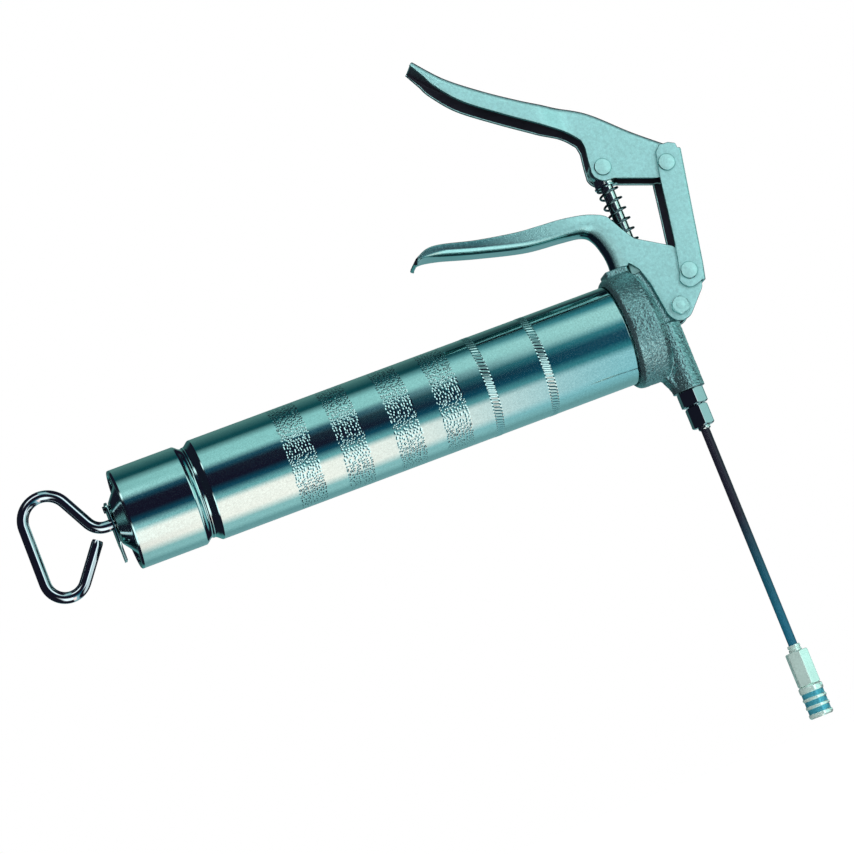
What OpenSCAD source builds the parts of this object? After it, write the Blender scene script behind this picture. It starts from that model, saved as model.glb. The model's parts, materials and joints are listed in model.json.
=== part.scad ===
// Lever-action grease gun for a 400 g cartridge: barrel, pump head, squeeze lever and rigid outlet pipe.
// +X runs along the barrel towards the pump head, +Z towards the lever, +Y across the gun.
// The origin is on the barrel's axis, midway along its plain outer wall. Units are millimetres.

/* [Barrel] */
// Outside diameter of the barrel tube
barrel_d = 56; // [55.4:0.1:56.6]
// Thickness of the barrel's sheet
barrel_wall = 1; // [0.8:0.1:1.2]
// Width of the crimped groove near the barrel's rear end
bead_w = 12; // [9:0.5:14]
// Depth of the crimped groove
bead_depth = 2.5; // [1.5:0.1:3]

/* [Pull rod] */
// Diameter of the pull rod
rod_d = 6.4; // [6:0.1:6.8]
// Radius of the loop's upper corner
loop_top_r = 13; // [11:0.1:14]
// Radius of the loop's lower corner
loop_low_r = 11.1; // [10:0.1:12]

/* [Pump] */
// Distance of the pump's axis ahead of the origin
pump_x = 142; // [141.5:0.1:142.5]
// Diameter of the pump plunger
plunger_d = 7; // [6.6:0.1:7.2]
// Radial running clearance of the moving shafts
run_gap = 0.06; // [0.04:0.01:0.09]
// Outside diameter of the lever's return spring
return_spring_d = 12.2; // [11.6:0.1:12.4]

/* [Lever and handle] */
// Thickness of the pressed steel sheet
sheet = 2; // [1.6:0.1:2]
// Width across the lever's body and the handle's bracket plates
body_w = 18; // [17.6:0.1:18]
// Width across the lever's grip
lever_grip_w = 24; // [23:0.5:25]
// Width across the fixed handle's grip
handle_grip_w = 20; // [19.8:0.1:21]
// Inside width of the link that joins lever and bracket
link_inner_w = 19; // [18.8:0.1:19.2]

/* [Outlet] */
// Outside diameter of the rigid extension pipe
pipe_d = 5; // [4.6:0.1:5.2]
// Bore of the extension pipe
pipe_bore = 2; // [1.6:0.1:2.4]
// Outside diameter of the coupler's ribbed sleeve
coupler_d = 13.5; // [13:0.1:14]
// Diameter of the mouth that grips a grease nipple
mouth_d = 6.7; // [6.6:0.05:6.8]

/* [Hidden] */
$fn = 64;

steel = "#8fc4c0";
bright_steel = "#c9dedb";
dark_steel = "#2c3f44";
cast_steel = "#4f8f90";
brass = "#b99a55";
rubber = "#20262a";

// Stations along the barrel
barrel_r = barrel_d / 2;
barrel_in_r = barrel_r - barrel_wall;
barrel_rear = -170;
barrel_front = 130;
bead_x = -128.5;
thread_x = 116;
neck_r = barrel_r - 0.35;
neck_in_r = neck_r - barrel_wall;
thread_r = barrel_r - 0.35;
lip_w = 2.6;
lip_t = 1;
cap_x = barrel_rear + lip_t + 0.1;
cap_r = neck_in_r - 0.05;
boss_face_x = -174.9;
boss_r = 11.5;
cap_t = 1.2;
latch_x = -177.2;
latch_t = 1.3;
latch_top = 11.8;
latch_tip = -21;
latch_pivot_z = 8.8;
latch_rib_r = 0.95;
latch_w = 15;

// Pull rod and follower
rod_r = rod_d / 2;
rod_front = 110;
bend_x = -179.7;
bend_r = 10;
loop_bar_x = -220.9;
loop_top_z = 14.2;
loop_low_z = -17.4;
leg_angle = 53;
leg_length = 23.4;
rod_lap = 3;
rod_skin = 0.03;
shoulder_x = 94;
stud_r = 2.5;
stud_bore = stud_r + run_gap;
plate_x = 94.6;
cup_x = 96.1;
washer_x = 99.2;
plate_t = 1.4;
sleeve_l = 5.5;
rod_nut_x = 106.2;
follower_spring_r = 20;
follower_wire_r = 1.2;

// Pump head
collar_rear = 117;
collar_front = 134.4;
head_front = 137.5;
collar_r = 31.6;
pad_z = 34.2;
tower_r = 9.2;
tower_half = 6.9;
tower_top = 28;
tower_bottom = -41.5;
plunger_r = plunger_d / 2;
plunger_bore_r = plunger_r + run_gap;
packing_z = 20;
packing_r = 5.5;
gland_top = 35.5;
seat_washer_z = 36;
cap_washer_z = 79.2;
washer_t = 1.1;
plunger_low = 6;
valve_seat_z = -27;
valve_seat_r = 2.2;
ball_r = 3;
valve_r = 4.6;
outlet_thread_r = 5.95;
outlet_thread_top = -36;
spot_r = 7.9;

// Lever linkage: pivots in the middle plane, as [x, z]
plunger_pin = [pump_x, 89.1];
lever_pin = [175.7, 79.1];
bracket_pin = [164.4, 18.9];
bolt_at = [152.6, 2.7];
pin_r = 3;
pin_gap = 0.06;
fixed_gap = 0.02;
pin_slot = 0.9;
slot_gap = 0.15;
rivet_head_r = 4.8;
rivet_head_h = 1.6;
bolt_r = 2.6;
body_half = body_w / 2;
link_sheet = 1.8;
link_outer_w = link_inner_w + 2 * link_sheet;

// Outlet line, downwards from the pump
adapter_low = -50.2;
pipe_nut_top = -50.9;
pipe_nut_low = -62.6;
ferrule_low = -64.6;
stub_low = -54.9;
pipe_top = -55.4;
pipe_low = -197;
coupler_top = -190.4;
coupler_hex_top = -194.2;
coupler_hex_low = -213.5;
coupler_low = -231.5;
jaws_low = -230.6;
mouth_l = 9.4;
seal_low = -220.9;
coupler_spring_low = -218;
pipe_r = pipe_d / 2;
pipe_hole_r = pipe_r + fixed_gap;
mouth_r = mouth_d / 2;

// ---- curve helpers ----

// Points on a circular arc from angle a0 to a1
function arc(centre, r, a0, a1, n = 8) =
    [for (i = [0 : n]) let (a = a0 + (a1 - a0) * i / n) centre + r * [cos(a), sin(a)]];

// One point of a Catmull-Rom curve between p1 and p2
function curve_point(p0, p1, p2, p3, t) =
    0.5 * (2 * p1 + (p2 - p0) * t + (2 * p0 - 5 * p1 + 4 * p2 - p3) * t * t
        + (3 * p1 - p0 - 3 * p2 + p3) * t * t * t);

// A smooth open curve through the points, with n steps between each pair
function curve(p, n = 4) =
    let (last = len(p) - 1)
    concat(
        [for (i = [0 : last - 1]) for (k = [0 : n - 1])
            curve_point(p[max(i - 1, 0)], p[i], p[i + 1], p[min(i + 2, last)], k / n)],
        [p[last]]);

// The points in the opposite order
function reversed(p) = [for (i = [len(p) - 1 : -1 : 0]) p[i]];

// Unit normal on the left of the polyline at point i
function left_normal(p, i) =
    let (d = p[min(i + 1, len(p) - 1)] - p[max(i - 1, 0)])
    [-d[1], d[0]] / norm(d);

// The polyline moved sideways by t
function shifted(p, t) = [for (i = [0 : len(p) - 1]) p[i] + t * left_normal(p, i)];

// A band of thickness t on the left of a polyline
function band(p, t) = concat(p, reversed(shifted(p, t)));

// ---- placing helpers ----

// Turns the local z axis to +X, starting at x
module along_x(x = 0) {
    translate([x, 0, 0]) rotate([0, 90, 0]) children();
}

// Puts the local z axis across the gun at [x, z]
module across(at) {
    translate([at[0], 0, at[1]]) rotate([90, 0, 0]) children();
}

// Puts the local z axis on the pump's axis at height z
module on_pump(z = 0) {
    translate([pump_x, 0, z]) children();
}

// A side view outline given thickness w about the middle plane
module slab(points, w) {
    rotate([90, 0, 0]) linear_extrude(w, center = true) polygon(points);
}

// Two plates of thickness t, the outer faces w apart
module plate_pair(points, w, t) {
    for (side = [-1, 1])
        translate([0, side * (w - t) / 2, 0]) slab(points, t);
}

// A hexagonal prism, flats facing across the gun
module hex_prism(across_flats, h) {
    cylinder(h, r = across_flats / sqrt(3), $fn = 6);
}

// A tube standing on z = 0
module tube(r_out, r_in, h) {
    difference() {
        cylinder(h, r = r_out);
        translate([0, 0, -1]) cylinder(h + 2, r = r_in);
    }
}

// Faces of a bar made of rings of points, closed at both ends
function bar_faces(rings, sides) = concat(
    [for (i = [0 : rings - 1]) for (j = [0 : sides - 1])
        let (k = (j + 1) % sides, p = i * sides)
        each [[p + j, p + k, p + sides + k], [p + j, p + sides + k, p + sides + j]]],
    [[for (j = [sides - 1 : -1 : 0]) j], [for (j = [0 : sides - 1]) rings * sides + j]]);

// A helical spring standing on z = 0, ends cut square
module coil_spring(outer_r, wire_r, height, turns, steps = 18, sides = 6) {
    rings = round(turns * steps);
    mean_r = outer_r - wire_r;
    lift = (height - 2 * wire_r) / rings;
    points = [for (i = [0 : rings]) for (j = [0 : sides - 1])
        let (a = 360 * i / steps, b = 360 * j / sides, r = mean_r + wire_r * cos(b))
        [r * cos(a), r * sin(a), wire_r + lift * i + wire_r * sin(b)]];
    polyhedron(points, bar_faces(rings, sides));
}

// ---- barrel ----

function bead_dip(x) =
    abs(x - bead_x) < bead_w / 2 ? bead_depth * (1 + cos(360 * (x - bead_x) / bead_w)) / 2 : 0;

bead_steps = 12;
bead_stations = [for (i = [0 : bead_steps]) bead_x - bead_w / 2 + bead_w * i / bead_steps];

// Tube with a rolled rear lip, a neck behind the crimped groove and a threaded front end
module barrel_tube() {
    rim = 0.6;
    outer = concat(
        [[barrel_r - lip_w, barrel_rear], [neck_r - rim, barrel_rear], [neck_r, barrel_rear + rim]],
        [for (x = bead_stations) [(x < bead_x ? neck_r : barrel_r) - bead_dip(x), x]],
        [[barrel_r, thread_x], [thread_r, thread_x + 0.3], [thread_r, barrel_front]]);
    inner = concat(
        [[barrel_in_r, barrel_front]],
        [for (x = reversed(bead_stations)) [(x < bead_x ? neck_in_r : barrel_in_r) - bead_dip(x), x]],
        [[neck_in_r, barrel_rear + lip_t], [barrel_r - lip_w, barrel_rear + lip_t]]);
    color(steel) along_x() rotate_extrude($fn = 96) polygon(concat(outer, inner));
}

// Dished cap held behind the lip, with a raised boss round the rod
module rear_cap() {
    hole_r = 7.2;
    inner_x = cap_x + cap_t;
    profile = [
        [hole_r, boss_face_x], [boss_r, boss_face_x], [18, cap_x - 1], [20, cap_x],
        [cap_r, cap_x], [cap_r, inner_x], [19.5, inner_x], [17.4, cap_x + 0.3],
        [boss_r - 0.6, boss_face_x + cap_t], [hole_r, boss_face_x + cap_t]];
    color(steel) along_x() rotate_extrude() polygon(profile);
}

module rod_bush() {
    color(brass) along_x(boss_face_x + cap_t) difference() {
        union() {
            cylinder(2, r = 9.6);
            cylinder(9, r = 6.5);
        }
        translate([0, 0, -1]) cylinder(12, r = rod_r + run_gap);
    }
}

module latch_rivet() {
    color(dark_steel) translate([0, 0, latch_pivot_z]) {
        along_x(latch_x - 1.3) cylinder(0.9, r = 2);
        along_x(latch_x - 0.8) cylinder(boss_face_x - latch_x + 0.8, r = 1.1);
    }
}

module latch_plate() {
    outline = concat(
        arc([latch_top - 4, latch_w / 2 - 4], 4, 0, 90, 4),
        [[-11, latch_w / 2], [-14, 5], [latch_tip, 5]],
        [[latch_tip, -5], [-14, -5], [-11, -latch_w / 2]],
        arc([latch_top - 4, -latch_w / 2 + 4], 4, -90, 0, 4));
    color(steel) translate([latch_x, 0, 0]) difference() {
        union() {
            rotate([0, -90, 0]) translate([0, 0, -latch_t]) linear_extrude(latch_t) polygon(outline);
            // Rib that the plate rocks on, against the cap's boss
            across([latch_t, latch_pivot_z]) cylinder(12, r = latch_rib_r, center = true);
        }
        along_x(-1) cylinder(4, r = rod_r + 0.35);
        translate([0, 0, latch_pivot_z]) along_x(-1) cylinder(4, r = 1.5);
    }
}

module latch_spring() {
    color(bright_steel) along_x(latch_x + latch_t + 0.05) coil_spring(6, 0.4, 2.1, 1.5, 14);
}

// ---- pull rod and follower ----

top_centre = [loop_bar_x + loop_top_r, loop_top_z];
low_centre = [loop_bar_x + loop_low_r, loop_low_z];
// The loop's upper side is the straight line tangent to the first bend and the upper corner
bends_apart = top_centre - [bend_x, bend_r];
bend_angle = 180 - atan2(bends_apart[1], bends_apart[0])
    + asin((bend_r + loop_top_r) / norm(bends_apart));
leg_start = low_centre + loop_low_r * [cos(leg_angle - 90), sin(leg_angle - 90)];
leg_end = leg_start + leg_length * [cos(leg_angle), sin(leg_angle)];

// Centreline of the bent loop in the middle plane, from inside the rod to the loop's free end
loop_path = concat(
    [[bend_x + rod_lap, 0]],
    arc([bend_x, bend_r], bend_r, 270, 270 - bend_angle, 7),
    arc(top_centre, loop_top_r, 90 - bend_angle, 180, 14),
    arc(low_centre, loop_low_r, 180, 270 + leg_angle, 14),
    [leg_end]);

// A round bar along a path in the middle plane
module swept_bar(path, r, sides = 14) {
    rings = len(path) - 1;
    points = [for (i = [0 : rings]) for (j = [0 : sides - 1])
        let (n = left_normal(path, i), b = 360 * j / sides)
        [path[i][0] + r * cos(b) * n[0], r * sin(b), path[i][1] + r * cos(b) * n[1]]];
    polyhedron(points, bar_faces(rings, sides));
}

module pull_rod() {
    color(dark_steel) {
        swept_bar(loop_path, rod_r - rod_skin);
        along_x(bend_x) cylinder(shoulder_x - bend_x, r = rod_r);
        // Reduced front end that carries the follower
        along_x(shoulder_x - 1) cylinder(rod_front - shoulder_x + 1, r = stud_r);
    }
}

module rod_nut() {
    color(steel) along_x(rod_nut_x) difference() {
        hex_prism(8, 3.4);
        translate([0, 0, -1]) cylinder(6, r = stud_r + fixed_gap);
    }
}

// Rubber cup whose lip wipes the cartridge's wall
module follower_cup() {
    cup_t = 3;
    profile = [
        [3.2, cup_x], [24, cup_x], [barrel_in_r - 0.08, cup_x - 3.1], [barrel_in_r - 0.08, cup_x + 8.4],
        [25.4, cup_x + 8.4], [24.2, cup_x + cup_t], [3.2, cup_x + cup_t]];
    color(rubber) along_x() rotate_extrude() polygon(profile);
}

module follower_plate() {
    color(steel) along_x(plate_x) tube(21.5, stud_bore, plate_t);
}

// Front washer and the sleeve that the nut bears on
module follower_washer() {
    color(steel) along_x(washer_x) {
        tube(18, stud_bore, plate_t);
        translate([0, 0, plate_t]) tube(5, stud_bore, sleeve_l);
    }
}

module follower_spring() {
    color(bright_steel) along_x(cap_x + cap_t + 0.05)
        coil_spring(follower_spring_r, follower_wire_r, 262, 21, 16);
}

// ---- pump head ----

module barrel_seal() {
    color(rubber) along_x(barrel_front + 0.05) tube(thread_r - 0.15, barrel_r - 3.2, 1.4);
}

// Casting before its bores are cut
module head_blank() {
    collar = [
        [barrel_r - 2, collar_rear + 2], [barrel_r + 1.2, collar_rear], [collar_r - 1, collar_rear],
        [collar_r - 0.2, collar_rear + 1.2], [collar_r, collar_rear + 4], [collar_r, collar_front - 1.6],
        [collar_r - 1.6, collar_front], [26, head_front], [0, head_front], [0, collar_rear + 10]];
    gusset = [[130, -29.8], [135.2, tower_bottom], [pump_x, tower_bottom], [pump_x, -24], [130, -24]];
    along_x() rotate_extrude($fn = 96) polygon(collar);
    // Pad under the fixed handle's foot
    translate([collar_rear + 4, -8, 26]) cube([collar_front - collar_rear - 4.4, 16, pad_z - 26]);
    slab(gusset, 13);
    on_pump(tower_bottom) cylinder(38, r = tower_r);
    intersection() {
        on_pump(-10) cylinder(tower_top + 10, r = tower_r);
        translate([pump_x - 20, -tower_half, -10]) cube([40, 2 * tower_half, 60]);
    }
    translate([collar_front - 2, -tower_half, -6])
        cube([pump_x - collar_front + 2, 2 * tower_half, tower_top - 2]);
    // Ear that takes the bracket bolt
    across(bolt_at) cylinder(2 * tower_half, r = 6.6, center = true);
}

module head_casting() {
    color(cast_steel) difference() {
        head_blank();
        // Socket for the barrel's thread and the seal in front of it
        along_x(collar_rear - 1) cylinder(barrel_front - collar_rear + 2.6, r = thread_r + 0.05);
        // Inlet port from the barrel to the pump
        along_x(barrel_front) cylinder(pump_x - barrel_front, r = 3);
        // Pump bore, packing chamber, valve seat, valve chamber and outlet thread
        on_pump(valve_seat_z + 3) cylinder(80, r = plunger_bore_r);
        on_pump(packing_z) cylinder(20, r = packing_r);
        on_pump(valve_seat_z - 1) cylinder(5, r = valve_seat_r);
        on_pump(outlet_thread_top - 1) cylinder(valve_seat_z - outlet_thread_top + 1, r = valve_r);
        on_pump(tower_bottom - 1) cylinder(outlet_thread_top - tower_bottom + 1, r = outlet_thread_r);
        // Spot face under the gland nut
        on_pump(tower_top) cylinder(10, r = spot_r);
        across(bolt_at) cylinder(40, r = bolt_r, center = true);
    }
}

module plunger_packing() {
    color(rubber) on_pump(packing_z) for (i = [0 : 2])
        translate([0, 0, 2 * i]) tube(packing_r - 0.02, plunger_bore_r, 1.9);
}

module gland_nut() {
    color(steel) on_pump() difference() {
        union() {
            translate([0, 0, packing_z + 6]) cylinder(6, r = packing_r - 0.02);
            translate([0, 0, tower_top + 0.02]) hex_prism(13, gland_top - tower_top);
        }
        cylinder(80, r = plunger_bore_r);
    }
}

module spring_seat_washer() {
    color(steel) on_pump(gland_top + 0.05) tube(6.6, plunger_bore_r, washer_t);
}

module spring_cap_washer() {
    color(steel) on_pump(cap_washer_z) tube(6.6, plunger_r, washer_t);
}

module return_spring() {
    low = gland_top + washer_t + 0.1;
    color(bright_steel) on_pump(low)
        coil_spring(return_spring_d / 2, 0.65, cap_washer_z - low - 0.05, 7.5, 18, 8);
}

module plunger() {
    eye_half = body_half - sheet - 0.6;
    slot_r = pin_r + slot_gap;
    color(bright_steel) difference() {
        union() {
            on_pump(plunger_low) cylinder(cap_washer_z + 4 - plunger_low, r = plunger_r);
            on_pump(cap_washer_z + washer_t + 0.02) cylinder(4, r = eye_half - 0.4);
            across(plunger_pin) cylinder(2 * eye_half - 1, r = 6.4, center = true);
        }
        // Slotted pin hole: the lever's pin swings half a millimetre sideways in it
        for (side = [-1, 1])
            across(plunger_pin + [side * pin_slot, 0]) cylinder(30, r = slot_r, center = true);
        translate([plunger_pin[0] - pin_slot, -15, plunger_pin[1] - slot_r])
            cube([2 * pin_slot, 30, 2 * slot_r]);
    }
}

// ---- lever, link and fixed handle ----

// A rivet across the gun: its shank, and a low bevelled head on each side
module rivet(at, grip, head_r = rivet_head_r) {
    rim_h = 0.7;
    across(at) {
        cylinder(grip + 0.1, r = pin_r, center = true);
        for (side = [0, 180])
            rotate([side, 0, 0]) translate([0, 0, grip / 2 + fixed_gap]) {
                cylinder(rim_h, r = head_r);
                translate([0, 0, rim_h]) cylinder(rivet_head_h - rim_h, r1 = head_r, r2 = head_r - 1.3);
            }
    }
}

module plunger_rivet() {
    color(bright_steel) rivet(plunger_pin, body_w);
}

module lever_link_rivet() {
    color(bright_steel) rivet(lever_pin, link_outer_w + 0.2);
}

module link_bracket_rivet() {
    color(bright_steel) rivet(bracket_pin, link_outer_w + 0.2);
}

// Lever outline: web along the top, flange edges along the bottom
lever_top = curve([[65.1, 180.1], [77.4, 165.7], [94.6, 151.9], [113.4, 139.1], [127.1, 131],
    [145.4, 120.6], [165.1, 102.4], [184, 86.6]]);
lever_low = concat(
    curve([[67.8, 169], [70.8, 163.2], [81.6, 150], [99.8, 135.9], [118.7, 122.6], [129.6, 115],
        [136.3, 107.4]]),
    curve([[137, 103], [135.7, 94], [135.1, 88.2]]),
    arc([142.3, 88.7], 7.3, 184, 262, 8),
    [[146, 81.2], [168.6, 73]],
    arc(lever_pin, 8, 235, 380, 8));

module trigger_lever() {
    outline = concat(lever_top, reversed(lever_low));
    grip_end = 134;
    web = band(lever_top, -sheet);
    color(steel) difference() {
        union() {
            plate_pair(outline, body_w, sheet);
            intersection() {
                plate_pair(outline, lever_grip_w, sheet);
                translate([0, -20, 0]) cube([grip_end - 8, 40, 200]);
            }
            intersection() {
                slab(web, lever_grip_w);
                translate([0, -20, 0]) cube([grip_end, 40, 200]);
            }
            slab(web, body_w);
            // Shoulders where the wide grip narrows to the body
            intersection() {
                slab(outline, lever_grip_w);
                for (side = [-1, 1])
                    translate([grip_end - 8, side * (body_w + lever_grip_w) / 4 - lever_grip_w / 8, 0])
                        cube([sheet, lever_grip_w / 4, 200]);
            }
        }
        // Inner plates are left out along the grip
        intersection() {
            slab(concat(shifted(lever_top, -sheet), reversed(lever_low)), body_w + 0.02);
            translate([0, -20, 0]) cube([grip_end - 8, 40, 200]);
        }
        for (pin = [plunger_pin, lever_pin])
            across(pin) cylinder(40, r = pin_r + fixed_gap, center = true);
    }
}

link_front = [[186.8, 84.6], [181, 56], [173.8, 20]];
link_rear = [[172.3, 86.6], [169, 72], [165.9, 53], [163, 36.3], [160.8, 26.5], [158.8, 19]];

// Two cheeks joined by a web along their front edges
module link() {
    cheek = concat(
        [[185.6, 87.2], [181, 89.6], [175.6, 89.8]], link_rear,
        arc([163.9, 16.4], 6.6, 190, 300, 6), [[171.6, 11]], reversed(link_front));
    web_front = [[185.7, 79], [181, 56], [176.2, 32]];
    color(steel) difference() {
        union() {
            plate_pair(cheek, link_outer_w, link_sheet);
            slab(band(web_front, -link_sheet), link_outer_w);
        }
        for (pin = [lever_pin, bracket_pin])
            across(pin) cylinder(40, r = pin_r + pin_gap, center = true);
        // The web stops short of the lever's end
        across(lever_pin) cylinder(link_inner_w, r = 9.6, center = true);
    }
}

// Fixed handle outline: flange edges along the top, web along the bottom down to its foot
handle_top = concat(
    curve([[27.6, 77.2], [34.4, 80], [43, 79.5], [61.5, 75.1], [83.1, 71.6], [96.8, 70.6],
        [109, 69.9], [122.9, 67.7], [131.2, 64.7]]),
    curve([[134.2, 62.6], [139.3, 53.2], [143.4, 46.4]]),
    [[161.8, 35.2]]);
handle_low = curve([[26, 72.8], [32, 75.5], [60, 67.9], [86.5, 61.6], [106.6, 59.7],
    [118.4, 57.7], [123.2, 53.2], [125.8, 45], [126.4, 38.5], [126, 34.4]]);
bracket_edge = concat(
    [[169.4, 25], [170, 14], [168.6, 8]], arc(bolt_at, 8, -52, -172, 8),
    [[142.3, 19.5], [139.3, 29.5], [135.4, 34.4]]);

module fixed_handle() {
    grip_end = 128;
    outline = concat(handle_top, bracket_edge, reversed(handle_low));
    web = band(handle_low, sheet);
    color(steel) difference() {
        union() {
            intersection() {
                plate_pair(outline, body_w, sheet);
                translate([grip_end - 6, -20, -20]) cube([60, 40, 100]);
            }
            intersection() {
                plate_pair(outline, handle_grip_w, sheet);
                translate([0, -20, 30]) cube([grip_end, 40, 60]);
            }
            intersection() {
                slab(web, handle_grip_w);
                slab(outline, handle_grip_w);
                translate([0, -20, 0]) cube([grip_end, 40, 100]);
            }
        }
        across(bolt_at) cylinder(40, r = bolt_r, center = true);
        across(bracket_pin) cylinder(40, r = pin_r + fixed_gap, center = true);
    }
}

module bracket_bolt() {
    head_h = 3.6;
    color(bright_steel) across(bolt_at) {
        cylinder(body_w + 8, r = bolt_r - fixed_gap, center = true);
        translate([0, 0, body_half + 0.02]) hex_prism(9, head_h - 1);
        translate([0, 0, body_half + head_h - 1]) cylinder(1, r1 = 4.4, r2 = 3.2);
    }
}

module bracket_nut() {
    color(bright_steel) across(bolt_at) translate([0, 0, -body_half - 3.4]) difference() {
        hex_prism(9, 3.35);
        translate([0, 0, -1]) cylinder(6, r = bolt_r);
    }
}

// ---- outlet line ----

// Ball held against the seat's edge
module check_ball() {
    drop = sqrt(ball_r * ball_r - valve_seat_r * valve_seat_r);
    color(bright_steel) on_pump(valve_seat_z - drop - 0.02) sphere(ball_r);
}

module check_spring() {
    color(bright_steel) on_pump(outlet_thread_top + 0.05) coil_spring(2.7, 0.35, 3.7, 3.5, 14);
}

module outlet_adapter() {
    color(steel) on_pump() difference() {
        union() {
            translate([0, 0, adapter_low]) hex_prism(14, tower_bottom - 0.05 - adapter_low);
            translate([0, 0, adapter_low]) cylinder(outlet_thread_top - adapter_low - 0.05, r = 5.9);
            translate([0, 0, stub_low]) cylinder(10, r = 4);
        }
        translate([0, 0, stub_low - 5]) cylinder(30, r = 1.4);
    }
}

module pipe_nut() {
    color(steel) on_pump(pipe_nut_low) difference() {
        hex_prism(11.8, pipe_nut_top - pipe_nut_low);
        translate([0, 0, -1]) cylinder(20, r = pipe_hole_r);
        // Counterbore over the adapter's stub
        translate([0, 0, 5]) cylinder(20, r = 4 + fixed_gap);
    }
}

module pipe_ferrule() {
    color(bright_steel) on_pump(ferrule_low) tube(3.45, pipe_hole_r, pipe_nut_low - ferrule_low - 0.02);
}

module extension_pipe() {
    color(dark_steel) on_pump(pipe_low) tube(pipe_r, pipe_bore / 2, pipe_top - pipe_low);
}

module coupler_ferrule() {
    color(bright_steel) on_pump(coupler_hex_top + 0.02)
        tube(3.6, pipe_hole_r, coupler_top - coupler_hex_top);
}

module coupler_body() {
    color(bright_steel) on_pump() difference() {
        union() {
            translate([0, 0, coupler_hex_low]) hex_prism(11.6, coupler_hex_top - coupler_hex_low);
            translate([0, 0, coupler_hex_low - 6]) cylinder(8, r = 5);
        }
        // Pipe socket, passage and the chamber for the spring and seal
        translate([0, 0, pipe_low]) cylinder(20, r = pipe_hole_r);
        translate([0, 0, pipe_low - 8]) cylinder(20, r = 1);
        translate([0, 0, coupler_hex_low - 8]) cylinder(14, r = 3.4);
    }
}

module coupler_spring() {
    color(bright_steel) on_pump(coupler_spring_low) coil_spring(3.1, 0.4, 10, 5, 14);
}

module coupler_seal() {
    color(rubber) on_pump(seal_low) tube(3.3, 1, 2.8);
}

module coupler_jaws() {
    color(dark_steel) on_pump(jaws_low) difference() {
        tube(5.2, mouth_r, mouth_l);
        for (turn = [45, 135]) rotate([0, 0, turn]) translate([-8, -0.3, -1]) cube([16, 0.6, 8]);
    }
}

module coupler_sleeve() {
    ribs = 3;
    rib_pitch = 4.4;
    sleeve_r = coupler_d / 2;
    groove_r = sleeve_r - 0.5;
    color(bright_steel) on_pump(coupler_low) difference() {
        union() {
            cylinder(coupler_hex_low - coupler_low - 0.05, r = groove_r);
            for (i = [0 : ribs - 1])
                translate([0, 0, 4 + rib_pitch * i]) {
                    cylinder(0.6, r1 = groove_r, r2 = sleeve_r);
                    translate([0, 0, 0.6]) cylinder(1.6, r = sleeve_r);
                    translate([0, 0, 2.2]) cylinder(0.6, r1 = sleeve_r, r2 = groove_r);
                }
        }
        translate([0, 0, 0.9]) cylinder(30, r = 5.22);
        translate([0, 0, -1]) cylinder(30, r = 4.6);
    }
}

barrel_tube();
rear_cap();
rod_bush();
latch_rivet();
latch_plate();
latch_spring();
pull_rod();
rod_nut();
follower_cup();
follower_plate();
follower_washer();
follower_spring();
barrel_seal();
head_casting();
plunger_packing();
gland_nut();
spring_seat_washer();
return_spring();
spring_cap_washer();
plunger();
plunger_rivet();
trigger_lever();
lever_link_rivet();
link();
link_bracket_rivet();
fixed_handle();
bracket_bolt();
bracket_nut();
check_ball();
check_spring();
outlet_adapter();
pipe_nut();
pipe_ferrule();
extension_pipe();
coupler_ferrule();
coupler_body();
coupler_spring();
coupler_seal();
coupler_jaws();
coupler_sleeve();
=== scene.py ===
"""Looks of the lever grease gun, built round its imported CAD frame."""

import json
import math

import bmesh
import bpy
import numpy as np
from mathutils import Matrix, Vector, noise
from mathutils.geometry import delaunay_2d_cdt

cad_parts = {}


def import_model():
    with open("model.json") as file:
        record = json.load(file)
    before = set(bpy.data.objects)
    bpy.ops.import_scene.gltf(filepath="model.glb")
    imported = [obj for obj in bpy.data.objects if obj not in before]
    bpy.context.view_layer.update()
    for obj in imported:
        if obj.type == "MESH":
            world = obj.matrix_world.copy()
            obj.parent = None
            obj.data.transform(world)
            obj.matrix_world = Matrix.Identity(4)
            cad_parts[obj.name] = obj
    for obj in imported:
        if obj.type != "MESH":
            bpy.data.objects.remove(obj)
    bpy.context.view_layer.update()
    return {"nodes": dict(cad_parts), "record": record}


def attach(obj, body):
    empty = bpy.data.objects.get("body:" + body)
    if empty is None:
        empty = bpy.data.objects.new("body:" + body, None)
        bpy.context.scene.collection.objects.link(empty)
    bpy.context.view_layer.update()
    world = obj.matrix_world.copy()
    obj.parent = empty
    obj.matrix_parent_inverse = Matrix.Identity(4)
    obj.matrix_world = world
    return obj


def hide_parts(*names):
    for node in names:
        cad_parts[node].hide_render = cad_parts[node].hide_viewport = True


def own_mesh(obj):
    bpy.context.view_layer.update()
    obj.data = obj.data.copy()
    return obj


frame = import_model()
NODES = frame["nodes"]
MM = 0.001

# ---- stations of the gun, in millimetres in the row frame ----

BARREL_R, BARREL_WALL = 28.0, 1.0
BARREL_REAR, BARREL_FRONT = -170.0, 130.0
BEAD_X, BEAD_W, BEAD_DEPTH, BEAD_FLANK = -128.5, 10.0, 2.5, 4.2
THREAD_X = 116.0
NECK_DROP = 0.35
PUMP_X = 142.0
PLUNGER_PIN, LEVER_PIN = (142.0, 89.1), (175.7, 79.1)
PIN_HOLE, RIM_R = 3.04, 0.7
BRACKET_PIN, BOLT_AT = (164.4, 18.9), (152.6, 2.7)
STIPPLE_BANDS = [(-80.0, -64.5), (-52.0, -37.0), (-22.0, -7.0), (5.0, 20.0)]
HATCH_RINGS = [(33.0, 37.6), (65.2, 69.8)]


# ---- mesh helpers ----


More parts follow.
